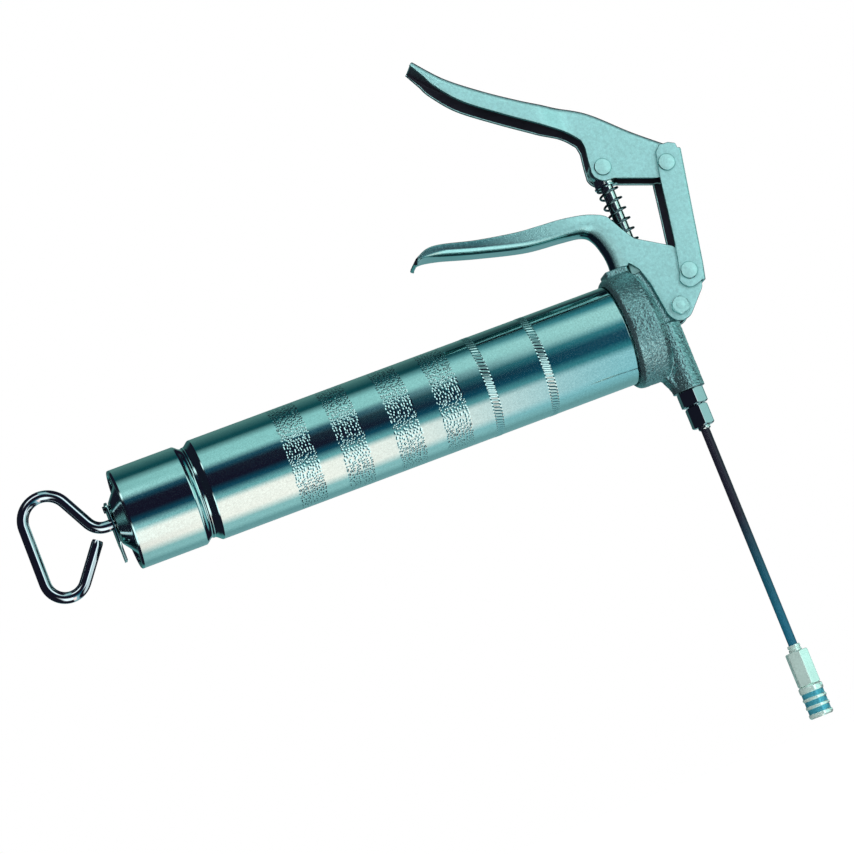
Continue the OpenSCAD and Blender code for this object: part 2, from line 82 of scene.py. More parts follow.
def piece(name, verts, faces, material, body, slot, stands_for=(), sharp=38.0, weighted=False, inside=(),
          lining=None):
    """A new piece from vertices in millimetres, smooth except where faces meet at more than sharp degrees.
    The faces numbered in inside take the material lining, which paints shade on them."""
    me = bpy.data.meshes.new(name)
    me.from_pydata([tuple(v) for v in np.asarray(verts, float) * MM], [], [tuple(f) for f in faces])
    bm = bmesh.new()
    bm.from_mesh(me)
    bm.faces.ensure_lookup_table()
    for i in inside:
        bm.faces[i].material_index = 1
    bmesh.ops.remove_doubles(bm, verts=bm.verts, dist=1e-6)
    bmesh.ops.recalc_face_normals(bm, faces=bm.faces)
    limit = math.radians(sharp)
    for f in bm.faces:
        f.smooth = True
    for e in bm.edges:
        e.smooth = not (len(e.link_faces) == 2 and e.calc_face_angle(0.0) > limit)
    bm.to_mesh(me)
    bm.free()
    ob = bpy.data.objects.new(name, me)
    bpy.context.scene.collection.objects.link(ob)
    me.materials.append(material)
    if lining:
        me.materials.append(lining)
    if weighted:
        mod = ob.modifiers.new("even_normals", "WEIGHTED_NORMAL")
        mod.keep_sharp = True
    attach(ob, body)
    if stands_for:
        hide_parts(*stands_for)
    return ob


def grid_faces(rows, cols, wrap_rows=False, wrap_cols=True, start=0):
    """Quads of a grid of points numbered row by row."""
    out = []
    for i in range(rows if wrap_rows else rows - 1):
        a, b = start + i * cols, start + ((i + 1) % rows) * cols
        for j in range(cols if wrap_cols else cols - 1):
            k = (j + 1) % cols
            out.append((a + j, a + k, b + k, b + j))
    return out


NEARLY_STRAIGHT = math.radians(158)


def rounded(profile, radius, steps=3):
    """A closed outline with each corner cut by a small arc, unless the corner is nearly straight."""
    out = []
    n = len(profile)
    for i in range(n):
        a, p, b = (np.array(profile[j % n], float) for j in (i - 1, i, i + 1))
        u, v = a - p, b - p
        lu, lv = np.linalg.norm(u), np.linalg.norm(v)
        u, v = u / lu, v / lv
        angle = math.acos(max(-1.0, min(1.0, float(u @ v))))
        if angle > NEARLY_STRAIGHT:
            out.append(tuple(p))
            continue
        cut = min(radius / math.tan(angle / 2), 0.45 * lu, 0.45 * lv)
        for k in range(steps + 1):
            t = k / steps
            out.append(tuple((1 - t) ** 2 * (p + u * cut) + 2 * t * (1 - t) * p + t * t * (p + v * cut)))
    return out


def lathe(profile, segs=96, axis="x", centre=(0.0, 0.0, 0.0)):
    """Points and faces of a closed outline of (radius, height) turned round an axis."""
    p = np.array(profile, float)
    a = np.arange(segs) * 2 * math.pi / segs
    r, h = p[:, :1], p[:, 1:] + 0 * a[None, :]
    u, v = r * np.cos(a)[None, :], r * np.sin(a)[None, :]
    pts = np.stack([h, v, u] if axis == "x" else [u, v, h], -1)
    return pts.reshape(-1, 3) + np.array(centre, float), grid_faces(len(p), segs, wrap_rows=True)


def tube_ring(r_out, r_in, low, high, edge=0.25):
    """Outline of a plain ring with softened edges."""
    return rounded([(r_in, low), (r_out, low), (r_out, high), (r_in, high)], edge)


def hex_nut(flats, low, high, bore, chamfer=0.55, segs=120, turn=0.0):
    """A hexagon with turned chamfers at both ends, flats across Y, bored through, standing on z = low."""
    a = (np.arange(segs) + 0.5) * 2 * math.pi / segs
    apothem = flats / 2
    local = (a - turn) % (math.pi / 3) - math.pi / 6
    reach = apothem / np.cos(local)
    soft = apothem * 1.115  # the corners are a little rounded
    reach = np.where(reach > soft, soft + (reach - soft) * 0.45, reach)
    flat_r = apothem * 0.96
    drop = (reach - flat_r) * chamfer
    rings = []
    for r, z in (
        (bore + 0 * a, low + 0 * a), (flat_r + 0 * a, low + 0 * a), (reach, low + drop),
        (reach, high - drop), (flat_r + 0 * a, high + 0 * a), (bore + 0 * a, high + 0 * a),
    ):
        rings.append(np.stack([r * np.cos(a), r * np.sin(a), z], -1))
    return np.concatenate(rings), grid_faces(len(rings), segs, wrap_rows=True)


def sweep(path, radii, sides=28, up=(0.0, 1.0, 0.0)):
    """A round bar along a path in space, closed at both ends, its section set out from the direction up."""
    p = np.array(path, float)
    t = np.gradient(p, axis=0)
    t /= np.linalg.norm(t, axis=1)[:, None]
    u = np.tile(np.array(up, float), (len(p), 1))
    u -= (u * t).sum(1)[:, None] * t
    u /= np.linalg.norm(u, axis=1)[:, None]
    v = np.cross(t, u)
    a = np.arange(sides) * 2 * math.pi / sides
    r = np.broadcast_to(np.array(radii, float), (len(p),))[:, None, None]
    out = np.cos(a)[None, :, None] * u[:, None, :] + np.sin(a)[None, :, None] * v[:, None, :]
    pts = p[:, None, :] + r * out
    faces = grid_faces(len(p), sides)
    last = (len(p) - 1) * sides
    faces += [tuple(range(sides))[::-1], tuple(range(last, last + sides))]
    return pts.reshape(-1, 3), faces


END_PITCH = 0.12


def coil(mean_r, wire_r, low, high, turns, steps=40, sides=12, closed=1.0, axis="z", centre=(0, 0, 0)):
    """A compression spring with closed end turns."""
    n = int(turns * steps) + 1
    s = np.linspace(0, turns, n)
    # Pitch is small over the closed end turns and even between them
    slope = np.clip(np.minimum(s, turns - s) / closed, 0.0, 1.0) if closed else np.ones(n)
    slope = END_PITCH + (1 - END_PITCH) * slope
    z = np.concatenate([[0], np.cumsum((slope[1:] + slope[:-1]) / 2)])
    z = low + wire_r + z / z[-1] * (high - low - 2 * wire_r)
    a = 2 * math.pi * s
    path = np.stack([mean_r * np.cos(a), mean_r * np.sin(a), z], -1)
    pts, faces = sweep(path, wire_r, sides, up=(0, 0, 1))
    if axis == "x":
        pts = pts[:, [2, 1, 0]]
    return pts + np.array(centre, float), faces


def smooth_curve(points, n=6):
    """Catmull-Rom curve through the points."""
    p = np.array(points, float)
    q = np.concatenate([p[:1], p, p[-1:]])
    out = []
    for i in range(len(p) - 1):
        a, b, c, d = q[i : i + 4]
        square, cube = 2 * a - 5 * b + 4 * c - d, 3 * b - a - 3 * c + d
        for t in np.arange(n) / n:
            out.append(0.5 * (2 * b + (c - a) * t + square * t * t + cube * t**3))
    out.append(p[-1])
    return np.array(out)


def arc(centre, r, a0, a1, n=10):
    """Points of an arc between two angles in degrees."""
    a = np.radians(np.linspace(a0, a1, n + 1))
    return np.stack([centre[0] + r * np.cos(a), centre[1] + r * np.sin(a)], -1)


def resampled(p, step):
    """The polyline with points at even steps, its corners kept."""
    p = np.asarray(p, float)
    out = [p[0]]
    for a, b in zip(p[:-1], p[1:]):
        n = max(1, int(round(np.linalg.norm(b - a) / step)))
        for k in range(1, n + 1):
            out.append(a + (b - a) * k / n)
    return np.array(out)


def even(p, step):
    """The polyline as points at even steps along it, its ends kept."""
    p = np.asarray(p, float)
    d = np.concatenate([[0], np.cumsum(np.linalg.norm(np.diff(p, axis=0), axis=1))])
    n = max(2, int(round(d[-1] / step)))
    s = np.linspace(0, d[-1], n + 1)
    return np.stack([np.interp(s, d, p[:, 0]), np.interp(s, d, p[:, 1])], -1)


def left_normals(p):
    """Unit normals to the left of a polyline."""
    t = np.gradient(p, axis=0)
    t /= np.linalg.norm(t, axis=1)[:, None]
    return np.stack([-t[:, 1], t[:, 0]], -1)


# Profile of a sheet's rounded rim: how far in from the edge and how deep, as shares of the rounding
RIM_STEPS = [(1.0, 0.0), (0.55, 0.14), (0.2, 0.45), (0.0, 1.0)]


def thicken(verts, faces, t, edge=0.35):
    """Gives a sheet of faces the thickness t behind them, with rounded rims. Returns the points, all faces
    and the numbers of the faces on the sheet's back."""
    v = np.array(verts, float)
    normal = np.zeros_like(v)
    for f in faces:
        p = v[list(f)]
        n = np.zeros(3)
        for i in range(1, len(f) - 1):
            n += np.cross(p[i] - p[0], p[i + 1] - p[0])
        for i in f:
            normal[i] += n
    normal /= np.maximum(np.linalg.norm(normal, axis=1), 1e-12)[:, None]
    sides = [(a, b) for f in faces for a, b in zip(f, f[1:] + f[:1])]
    known = set(sides)
    left = {a: b for a, b in sides if (b, a) not in known}
    loops = []
    while left:
        start = next(iter(left))
        loop = [start]
        while True:
            nxt = left.pop(loop[-1])
            if nxt == start:
                break
            loop.append(nxt)
        loops.append(loop)
    out = v.copy()
    inner = v - normal * t
    base = len(v)
    all_faces = [tuple(f) for f in faces] + [tuple(i + base for i in f[::-1]) for f in faces]
    inside = range(len(faces), 2 * len(faces))
    extra = []
    count = 2 * base
    for loop in loops:
        p = v[loop]
        n = normal[loop]
        tangent = np.roll(p, -1, 0) - np.roll(p, 1, 0)
        tangent /= np.maximum(np.linalg.norm(tangent, axis=1), 1e-9)[:, None]
        away = np.cross(tangent, n)
        away /= np.maximum(np.linalg.norm(away, axis=1), 1e-9)[:, None]
        out[loop] = p - away * edge
        inner[loop] = p - away * edge - n * t
        rows = [list(loop)]
        levels = [(s, d * edge) for s, d in RIM_STEPS[1:]] + [(s, t - d * edge) for s, d in RIM_STEPS[:0:-1]]
        for s, depth in levels:
            extra.append(p - away * edge * s - n * depth)
            rows.append(list(range(count, count + len(loop))))
            count += len(loop)
        rows.append([i + base for i in loop])
        for r0, r1 in zip(rows[:-1], rows[1:]):
            for j in range(len(loop)):
                k = (j + 1) % len(loop)
                all_faces.append((r0[k], r0[j], r1[j], r1[k]))
    pts = np.concatenate([out, inner] + extra)
    return pts, all_faces, inside


def within(x, z, loops):
    """Whether a point lies inside an outline and outside its holes."""
    inside = False
    for a in loops:
        b = np.roll(a, -1, 0)
        hit = (a[:, 1] > z) != (b[:, 1] > z)
        if hit.any():
            xs = a[hit, 0] + (z - a[hit, 1]) / (b[hit, 1] - a[hit, 1]) * (b[hit, 0] - a[hit, 0])
            inside ^= bool(np.sum(xs > x) % 2)
    return inside


def fill(loop_points, holes=(), spacing=2.6):
    """Triangles over a flat outline, with holes left open and a few points inside. Returns the points, the
    triangles and, for each point, its place in the outline or -1 where it was added."""
    pts = [Vector(p) for p in loop_points]
    n = len(pts)
    edges = [(i, (i + 1) % n) for i in range(n)]
    for hole in holes:
        s = len(pts)
        pts += [Vector(p) for p in hole]
        edges += [(s + i, s + (i + 1) % len(hole)) for i in range(len(hole))]
    loops = [np.array(loop, float) for loop in (loop_points, *holes)]
    lo, hi = loops[0].min(0), loops[0].max(0)
    border = np.concatenate(loops)
    for x in np.arange(lo[0] + spacing / 2, hi[0], spacing):
        for z in np.arange(lo[1] + spacing / 2, hi[1], spacing):
            q = np.array([x, z])
            clear = np.min(np.sum((border - q) ** 2, 1)) > (0.55 * spacing) ** 2
            if clear and within(x, z, loops):
                pts.append(Vector((x, z)))
    verts, _, faces, orig, _, _ = delaunay_2d_cdt(pts, edges, [], 1, 1e-5)
    order = [o[0] if o else -1 for o in orig]
    xy = np.array([[p.x, p.y] for p in verts])
    keep = [tuple(f) for f in faces if within(*xy[list(f)].mean(0), loops)]
    return xy, keep, order


BEND_STEPS, WEB_STRIPS = 8, 7


def pressed_channel(web, rest, half_w, t, bend, holes=(), edge=0.35, spacing=2.6):
    """A U channel pressed from sheet. web is the side view of its back, rest the free edge from the web's end
    back to its start, half_w(points) the half width, and bend(share) the outer bend radius along the web."""
    web = np.asarray(web, float)
    rest = np.asarray(rest, float)
    m = len(web)
    share = np.linspace(0, 1, m)
    rho = np.array([bend(s) for s in share])
    around = np.concatenate([web, rest])
    ahead = np.roll(around, -1, 0)
    area = np.sum(around[:, 0] * ahead[:, 1] - ahead[:, 0] * around[:, 1])
    inward = left_normals(web) * np.sign(area)
    rim = web + inward * rho[:, None]
    outline = np.concatenate([rim, rest])
    xz, tris, order = fill(outline, holes, spacing)
    y = half_w(xz)
    near = np.stack([xz[:, 0], -y, xz[:, 1]], -1)
    if orientation(xz, tris) < 0:
        tris = [f[::-1] for f in tris]
    # Seen from -Y the side view's area is positive, so the faces look towards -Y
    far = near * np.array([1, -1, 1])
    faces = [tuple(f) for f in tris] + [tuple(i + len(near) for i in f[::-1]) for f in tris]
    place = {}
    for i, o in enumerate(order):
        if 0 <= o < m:
            place[o] = i
    w_rim = half_w(rim)
    turned = [math.pi / 2 * k / BEND_STEPS for k in range(1, BEND_STEPS + 1)]
    near_bend = [(rho * (1 - math.sin(b)), -(w_rim - rho * (1 - math.cos(b)))) for b in turned]
    strips = [(0 * rho, -(w_rim - rho) * (1 - 2 * (k / WEB_STRIPS))) for k in range(1, WEB_STRIPS)]
    far_bend = [(offset, -y) for offset, y in near_bend[::-1]]
    rows = [[place[j] for j in range(m)]]
    extra = []
    count = 2 * len(near)
    for offset, y in near_bend + strips + far_bend:
        pos = web + inward * offset[:, None]
        extra.append(np.stack([pos[:, 0], y, pos[:, 1]], -1))
        rows.append(list(range(count, count + m)))
        count += m
    rows.append([place[j] + len(near) for j in range(m)])
    edge_of = {(a, b) for f in faces for a, b in zip(f, f[1:] + f[:1])}
    flip = (rows[0][0], rows[0][1]) in edge_of
    for r0, r1 in zip(rows[:-1], rows[1:]):
        for j in range(m - 1):
            q = (r0[j], r0[j + 1], r1[j + 1], r1[j])
            faces.append(q[::-1] if flip else q)
    pts = np.concatenate([near, far] + extra)
    return thicken(pts, faces, t, edge)


def orientation(xz, tris):
    """Sign of the faces' area in the side view."""
    total = 0.0
    for f in tris:
        a, b, c = xz[f[0]], xz[f[1]], xz[f[2]]
        total += (b[0] - a[0]) * (c[1] - a[1]) - (b[1] - a[1]) * (c[0] - a[0])
    return total


def circle(at, r, n=32):
    turned = [2 * math.pi * i / n for i in range(n)]
    return [(at[0] + r * math.cos(t), at[1] + r * math.sin(t)) for t in turned]


# ---- materials ----


# The bright drawn finish on rims and grips, and how fully a grip has it
GRIP_METAL, GRIP_ROUGH, GRIP_SHARE = 1.0, 0.12, 0.85
# The noise's values between which colour and roughness change, and the height of the fine relief in metres
NOISE_LOW, NOISE_HIGH, RELIEF = 0.32, 0.68, 0.0004
COAT_ROUGH = 0.12


def shader(name, base, metallic, rough, spread=0.06, tone=0.10, grain=700.0, bump=0.05, coarse=60.0,
           coat=0.0, spec=0.5, gloss=None, along_z=None, rims=False):
    """A metal or rubber: its base colour, roughness and fine relief all vary over the surface. gloss is a
    pair of stations along X between which it turns from a bright drawn finish to this one, and along_z lists
    heights with the colour there, both in millimetres. rims gives that drawn finish to all that doesn't face
    sideways."""
    m = bpy.data.materials.new(name)
    m.use_nodes = True
    nt = m.node_tree
    n, l = nt.nodes, nt.links
    b = n["Principled BSDF"]
    b.inputs["Metallic"].default_value = metallic
    b.inputs["Coat Weight"].default_value = coat
    b.inputs["Coat Roughness"].default_value = COAT_ROUGH
    b.inputs["Specular IOR Level"].default_value = spec
    tc = n.new("ShaderNodeTexCoord")

    def noise_of(scale, detail):
        t = n.new("ShaderNodeTexNoise")
        t.inputs["Scale"].default_value = scale
        t.inputs["Detail"].default_value = detail
        l.new(tc.outputs["Object"], t.inputs["Vector"])
        return t.outputs["Fac"]

    def calc(op, a, b):
        t = n.new("ShaderNodeMath")
        t.operation = op
        for socket, x in zip(t.inputs, (a, b)):
            if isinstance(x, float):
                socket.default_value = x
            else:
                l.new(x, socket)
        return t.outputs[0]

    def span(fac, a, b, low, high):
        t = n.new("ShaderNodeMapRange")
        for key, x in (("From Min", a), ("From Max", b), ("To Min", low), ("To Max", high)):
            t.inputs[key].default_value = x
        l.new(fac, t.inputs["Value"])
        return t.outputs["Result"]

    def ramp(fac, stops):
        t = n.new("ShaderNodeValToRGB")
        els = t.color_ramp.elements
        while len(els) < len(stops):
            els.new(0.5)
        for el, (at, colour) in zip(els, stops):
            el.position, el.color = at, (*colour, 1)
        l.new(fac, t.inputs["Fac"])
        return t.outputs["Color"]

    fine = noise_of(grain, 3)
    mixed = calc("ADD", calc("MULTIPLY", noise_of(coarse, 5), 0.55), calc("MULTIPLY", fine, 0.45))
    shade = [min(1.0, c * k) for k in (1 - tone, 1 + tone) for c in base]
    colour = ramp(mixed, [(NOISE_LOW, shade[:3]), (NOISE_HIGH, shade[3:])])
    place = n.new("ShaderNodeSeparateXYZ")
    l.new(tc.outputs["Object"], place.inputs[0])
    roughness = span(mixed, 0.3, 0.7, max(0.02, rough - spread), rough + spread)
    if along_z:
        low, high = along_z[-1][0], along_z[0][0]
        stops = [((z - low) / (high - low), c) for z, c in reversed(along_z)]
        tint = ramp(span(place.outputs["Z"], low * MM, high * MM, 0.0, 1.0), stops)
        blend = n.new("ShaderNodeMix")
        blend.data_type = "RGBA"
        blend.blend_type = "MULTIPLY"
        blend.inputs[0].default_value = 1.0
        l.new(tint, blend.inputs[6])
        shading = ramp(mixed, [(NOISE_LOW, [1 - tone] * 3), (NOISE_HIGH, [1.0] * 3)])
        l.new(shading, blend.inputs[7])
        colour = blend.outputs[2]
    if rims:
        facing = n.new("ShaderNodeSeparateXYZ")
        l.new(tc.outputs["Normal"], facing.inputs[0])
        share = span(calc("ABSOLUTE", facing.outputs["Y"], 0.0), 0.60, 0.90, 1.0, 0.0)
        if gloss:
            grip = span(place.outputs["X"], gloss[0] * MM, gloss[1] * MM, GRIP_SHARE, 0.0)
            share = calc("MAXIMUM", share, grip)
        bright = n.new("ShaderNodeMath")
        bright.operation = "MULTIPLY_ADD"
        l.new(share, bright.inputs[0])
        bright.inputs[1].default_value = GRIP_METAL - metallic
        bright.inputs[2].default_value = metallic
        l.new(bright.outputs[0], b.inputs["Metallic"])
        roughness = calc("SUBTRACT", roughness, calc("MULTIPLY", share, rough - GRIP_ROUGH))
    l.new(colour, b.inputs["Base Color"])
    l.new(roughness, b.inputs["Roughness"])
    if bump:
        relief = n.new("ShaderNodeBump")
        relief.inputs["Strength"].default_value = bump
        relief.inputs["Distance"].default_value = RELIEF
        l.new(fine, relief.inputs["Height"])
        l.new(relief.outputs["Normal"], b.inputs["Normal"])
    return m


PLATE = (0.50, 0.74, 0.73)
POLISHED = shader("polished_plate", PLATE, 1.0, 0.10, 0.02, 0.16, 1500, 0.004, 900)
SATIN = shader("satin_plate", (0.29, 0.56, 0.56), 0.62, 0.36, 0.06, 0.17, 1500, 0.16, 600, rims=True)
HANDLE = shader("drawn_plate", (0.29, 0.56, 0.56), 0.62, 0.36, 0.06, 0.17, 1500, 0.04, 600,
                gloss=(62.0, 120.0), rims=True)
BRIGHT = shader("bright_nickel", (0.74, 0.86, 0.83), 1.0, 0.16, 0.05, 0.10, 900, 0.06, 120)
NICKEL = shader("nickel", (0.66, 0.88, 0.81), 0.68, 0.16, 0.05, 0.10, 900, 0.04, 120)
# Painted shade: dark blue-teal for the shade in the coupler sleeve's grooves
GROOVE_SHADE = shader("painted_groove_shade", (0.06, 0.33, 0.42), 0.6, 0.25, 0.05, 0.16, 900, 0.04, 120)
CHROME = shader("chrome", (0.52, 0.62, 0.64), 1.0, 0.09, 0.03, 0.08, 900, 0.02, 80)
DARK = shader("blackened_steel", (0.055, 0.075, 0.09), 1.0, 0.17, 0.05, 0.15, 900, 0.04, 80, coat=0.35)
# Painted shade: near-black put on the pressed channels' inside faces for the shade within them
INSIDE_SHADE = shader("painted_inside_shade", (0.012, 0.013, 0.02), 0.3, 0.5, 0.08, 0.3, 900, 0.1, 80, spec=0.25)
WIRE = shader("spring_wire", (0.20, 0.31, 0.33), 1.0, 0.2, 0.05, 0.12, 900, 0.03, 80)
CAST = shader("cast_head", (0.25, 0.46, 0.47), 0.94, 0.17, 0.05, 0.35, 1000, 0.9, 700)
ROD = shader("rod_steel", (0.58, 0.66, 0.70), 1.0, 0.08, 0.03, 0.10, 900, 0.02, 80)
RIVET = shader("rivet_plate", (0.32, 0.60, 0.59), 0.62, 0.36, 0.06, 0.14, 1500, 0.12, 600, rims=True)
BRASS = shader("brass", (0.72, 0.56, 0.28), 1.0, 0.25, 0.05, 0.08, 900, 0.04, 80)
RUBBER = shader("rubber", (0.025, 0.03, 0.034), 0.0, 0.62, 0.08, 0.2, 900, 0.15, 120)
# The tube's colour is darker towards the top, by the head, and bluer towards the coupler
TUBE = shader("dark_tube", (0.012, 0.11, 0.17), 0.35, 0.38, 0.06, 0.2, 900, 0.08, 160,
              along_z=((-64.0, (0.012, 0.012, 0.022)), (-115.0, (0.012, 0.014, 0.026)),
                       (-150.0, (0.006, 0.075, 0.115)), (-196.0, (0.008, 0.115, 0.185))))

SLOT_MATERIAL = {
    "plated_steel": POLISHED, "bright_steel": BRIGHT, "dark_steel": DARK, "spring_steel": WIRE,
    "cast_head": CAST, "brass": BRASS, "rubber": RUBBER,
}
SLOT_OF = {p["node"]: p["material_slot"] for p in frame["record"]["subparts"]}
BODY_OF = {n: b for b, ns in frame["record"]["behaviour"]["bodies"].items() for n in ns}


def stand_in(node, verts, faces, material=None, **more):
    """A finished piece that takes the place of a CAD node."""
    slot = SLOT_OF[node]
    return piece(node + "_look", verts, faces, material or SLOT_MATERIAL[slot], BODY_OF[node], slot,
                 stands_for=(node,), **more)


# ---- camera, lights and surroundings ----

YAW, PITCH, ROLL = math.radians(9.6), math.radians(-7.0), math.radians(21.67)
TARGET = Vector((0.0, 0.0, -0.010))
DISTANCE = 1.8308
SENSOR, FOCAL_PIXELS, PICTURE_PIXELS = 36.0, 3400, 854
to_camera = Vector((-math.sin(YAW) * math.cos(PITCH), -math.cos(YAW) * math.cos(PITCH), math.sin(PITCH)))
right = (-to_camera).cross(Vector((0, 0, 1))).normalized()
up = right.cross(-to_camera)
image_x = math.cos(ROLL) * right - math.sin(ROLL) * up
image_y = math.sin(ROLL) * right + math.cos(ROLL) * up
camera = bpy.data.objects.new("camera", bpy.data.cameras.new("camera"))
bpy.context.scene.collection.objects.link(camera)
camera.data.sensor_width = SENSOR
camera.data.lens = FOCAL_PIXELS * SENSOR / PICTURE_PIXELS
camera.data.clip_start, camera.data.clip_end = 0.05, 60
turn = Matrix((image_x, image_y, to_camera)).transposed().to_4x4()
camera.matrix_world = Matrix.Translation(TARGET + to_camera * DISTANCE) @ turn
bpy.context.scene.camera = camera
bpy.context.scene.view_settings.view_transform = "Standard"


# Light of the surroundings, in linear colour
WHITE, PALE, LIGHT_TEAL, TEAL = (1.5, 1.6, 1.6), (0.9, 1.0, 1.0), (0.50, 0.84, 0.80), (0.10, 0.30, 0.30)
DARK_TEAL, BLACK = (0.015, 0.06, 0.07), (0.012, 0.008, 0.020)
LEFT_SIDE = (0.012, 0.012, 0.022)
# Display colours that the bare plate shows where it mirrors a panel or a gap of the studio
GLOW, SOFT_TEAL, CREAM, SKY = (95, 148, 150), (130, 186, 186), (240, 246, 236), (120, 187, 195)
SEA, PALE_TEAL, MINT = (100, 168, 170), (132, 196, 193), (148, 205, 202)
MID_TEAL, DUSK = (38, 115, 125), (70, 118, 114)
DEEP_TEAL, DEEP_BLUE, NIGHT, INK = (15, 70, 75), (11, 66, 85), (18, 18, 35), (7, 16, 28)
# Panels and gaps as (from, to, colour), in degrees round the barrel from the camera's side up over the top.
# Between two of them the light changes evenly.
REAR_PANELS = [
    (-180, -138, GLOW), (-120, -105, SOFT_TEAL), (-84, -46, CREAM), (-34, -32, SEA), (-18, -16, DEEP_BLUE),
    (-4, 20, NIGHT), (31, 33, DEEP_BLUE), (46, 72, PALE_TEAL), (92, 100, DEEP_TEAL), (138, 180, DUSK),
]
HEAD_PANELS = [
    (-180, -135, GLOW), (-97, -48, SKY), (-34, -32, MID_TEAL), (-17, 0, DEEP_BLUE), (15, 17, MID_TEAL),
    (33, 63, MINT), (79, 81, MID_TEAL), (100, 126, INK), (148, 180, DUSK),
]
# The other sets are single stops of (angle, light)
LOW_BANDS = [
    (-180, TEAL), (-152, TEAL), (-142, BLACK), (-76, BLACK), (-66, WHITE), (-30, WHITE), (-18, BLACK),
    (34, BLACK), (42, WHITE), (50, WHITE), (58, BLACK), (128, BLACK), (140, (0.05, 0.13, 0.13)),
]
EDGE_BANDS = [(-180, BLACK), (-22, BLACK), (-14, WHITE), (34, WHITE), (42, BLACK)]
RIGHT_BANDS = [
    (-180, BLACK), (-106, BLACK), (-97, PALE), (-30, PALE), (-18, LIGHT_TEAL), (25, LIGHT_TEAL),
    (38, DARK_TEAL), (60, BLACK), (124, BLACK), (140, DARK_TEAL), (158, LIGHT_TEAL), (174, LIGHT_TEAL),
]
# Where one set gives way to the next, as the X part of the direction
TO_HEAD, TO_LOW, TO_EDGE = (0.150, 0.215), (0.068, 0.048), (0.28, 0.34)
TO_RIGHT, TO_LEFT = (0.50, 0.60), (-0.25, -0.42)


def seen_on_plate(panels):
    """Ramp stops whose light shows the panels' colours on the bare plate."""
    stops = []
    for low, high, colour in panels:
        light = [((c / 255 + 0.055) / 1.055) ** 2.4 / k for c, k in zip(colour, PLATE)]
        stops += [(low, light), (high, light)]
    return stops


def world():
    """A soft studio: each direction's brightness follows its angle round the barrel's axis."""
    w = bpy.data.worlds.new("studio")
    bpy.context.scene.world = w
    w.use_nodes = True
    nt = w.node_tree
    n, l = nt.nodes, nt.links
    bg = n["Background"]
    tc = n.new("ShaderNodeTexCoord")
    sep = n.new("ShaderNodeSeparateXYZ")
    l.new(tc.outputs["Generated"], sep.inputs[0])

    def math_node(op, a, b=None, c=None):
        m = n.new("ShaderNodeMath")
        m.operation = op
        for i, x in enumerate((a, b, c)):
            if x is None:
                continue
            if isinstance(x, (int, float)):
                m.inputs[i].default_value = x
            else:
                l.new(x, m.inputs[i])
        return m.outputs[0]

    def ramp(fac, stops):
        r = n.new("ShaderNodeValToRGB")
        els = r.color_ramp.elements
        while len(els) < len(stops):
            els.new(0.5)
        for el, (deg, col) in zip(els, stops):
            el.position = (deg + 180) / 360
            el.color = (*col, 1)
        l.new(fac, r.inputs["Fac"])
        return r.outputs["Color"]

    def mix(fac, a, b):
        m = n.new("ShaderNodeMix")
        m.data_type = "RGBA"
        for socket, x in ((0, fac), (6, a), (7, b)):
            if isinstance(x, (tuple, list)):
                m.inputs[socket].default_value = (*x, 1)
            elif isinstance(x, (int, float)):
                m.inputs[socket].default_value = x
            else:
                l.new(x, m.inputs[socket])
        return m.outputs[2]

    x, y, z = sep.outputs

    def share(low, high):
        """0 where x is at low, 1 where it is at high, and even between them."""
        t = math_node("MULTIPLY", math_node("SUBTRACT", x, low), 1 / (high - low))
        return math_node("MINIMUM", math_node("MAXIMUM", t, 0.0), 1.0)

    elevation = math_node("ARCTAN2", z, math_node("MULTIPLY", y, -1.0))
    fac = math_node("MULTIPLY_ADD", elevation, 0.5 / math.pi, 0.5)
    out = mix(share(*TO_HEAD), ramp(fac, seen_on_plate(REAR_PANELS)), ramp(fac, seen_on_plate(HEAD_PANELS)))
    out = mix(share(*TO_LOW), out, ramp(fac, LOW_BANDS))
    out = mix(share(*TO_EDGE), out, ramp(fac, EDGE_BANDS))
    out = mix(share(*TO_RIGHT), out, ramp(fac, RIGHT_BANDS))
    out = mix(share(*TO_LEFT), out, LEFT_SIDE)
    l.new(out, bg.inputs["Color"])
    bg.inputs["Strength"].default_value = 1.0


world()


def lamp(name, location, aim, size, power):
    """A soft box that lights the finishes but isn't mirrored in them."""
    data = bpy.data.lights.new(name, "AREA")
    data.shape = "RECTANGLE"
    data.size, data.size_y = size
    data.energy = power
    ob = bpy.data.objects.new(name, data)
    bpy.context.scene.collection.objects.link(ob)
    ob.location = location
    ob.rotation_mode = "QUATERNION"
    ob.rotation_quaternion = (Vector(aim) - Vector(location)).to_track_quat("-Z", "Y")
    ob.visible_glossy = False
    ob.visible_camera = False


lamp("front_soft", (-0.6, -2.2, 0.5), aim=(0.05, 0, 0.0), size=(1.6, 1.2), power=72)
lamp("top_soft", (0.2, -0.4, 2.2), aim=(0.05, 0, 0.0), size=(1.8, 1.8), power=12)
lamp("back_soft", (0.4, 2.2, 1.2), aim=(0.0, 0, 0.0), size=(1.8, 1.4), power=95)


def stage_mesh(name, verts, faces, material):
    """A part of the studio, which the finishes don't mirror."""
    me = bpy.data.meshes.new(name)
    me.from_pydata(verts, [], faces)
    me.materials.append(material)
    ob = bpy.data.objects.new(name, me)
    bpy.context.scene.collection.objects.link(ob)
    ob.visible_glossy = False
    return ob


def floor_material():
    m = bpy.data.materials.new("pale_floor")
    m.use_nodes = True
    b = m.node_tree.nodes["Principled BSDF"]
    b.inputs["Base Color"].default_value = (0.25, 0.25, 0.25, 1)
    b.inputs["Roughness"].default_value = 0.9
    b.inputs["Specular IOR Level"].default_value = 0.0
    b.inputs["Emission Color"].default_value = (1, 1, 1, 1)
    b.inputs["Emission Strength"].default_value = 0.98
    return m


def backdrop_material():
    m = bpy.data.materials.new("white_backdrop")
    m.use_nodes = True
    nt = m.node_tree
    nt.nodes.clear()
    em = nt.nodes.new("ShaderNodeEmission")
    em.inputs["Color"].default_value = (1, 1, 1, 1)
    em.inputs["Strength"].default_value = 1.0
    out = nt.nodes.new("ShaderNodeOutputMaterial")
    nt.links.new(em.outputs[0], out.inputs["Surface"])
    return m


